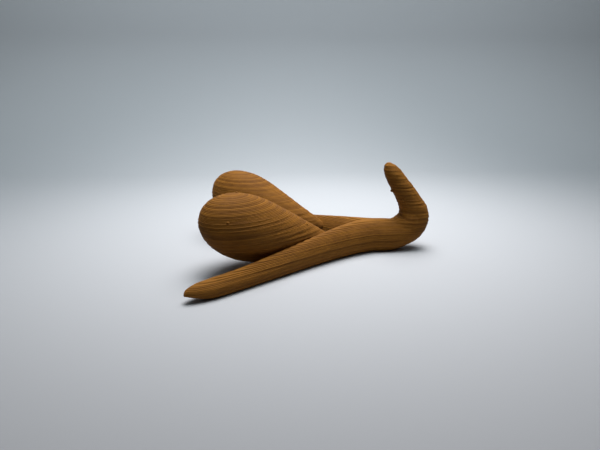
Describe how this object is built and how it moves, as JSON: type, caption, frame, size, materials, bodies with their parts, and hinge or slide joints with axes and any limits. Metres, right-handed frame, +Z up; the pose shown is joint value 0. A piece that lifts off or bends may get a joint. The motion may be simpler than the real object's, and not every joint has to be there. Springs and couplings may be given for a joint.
{
  "type": "anatomical teaching model",
  "caption": "Small printed teaching model of the clitoris: upright glans on an elbow, level body, splayed tapering crura and teardrop bulbs.",
  "frame": {"origin": "centre of the model's bounding box in X and Y, on the table plane under it", "axes": "+Z up; +X from the crura towards the elbow and glans; +Y towards the left crus and bulb; the model is the same on both sides of Y = 0"},
  "size_m": [0.0448, 0.0448, 0.0174],
  "materials": {
    "glans_print": "matte printed layers, wood-filled filament",
    "body_print": "matte printed layers, wood-filled filament",
    "crus_print": "matte printed layers, wood-filled filament",
    "bulb_print": "matte printed layers, wood-filled filament"
  },
  "bodies": {
    "root": {"body": "body_print", "glans": "glans_print", "left_crus": "crus_print", "right_crus": "crus_print", "left_bulb": "bulb_print", "right_bulb": "bulb_print"}
  },
  "joints": []
}
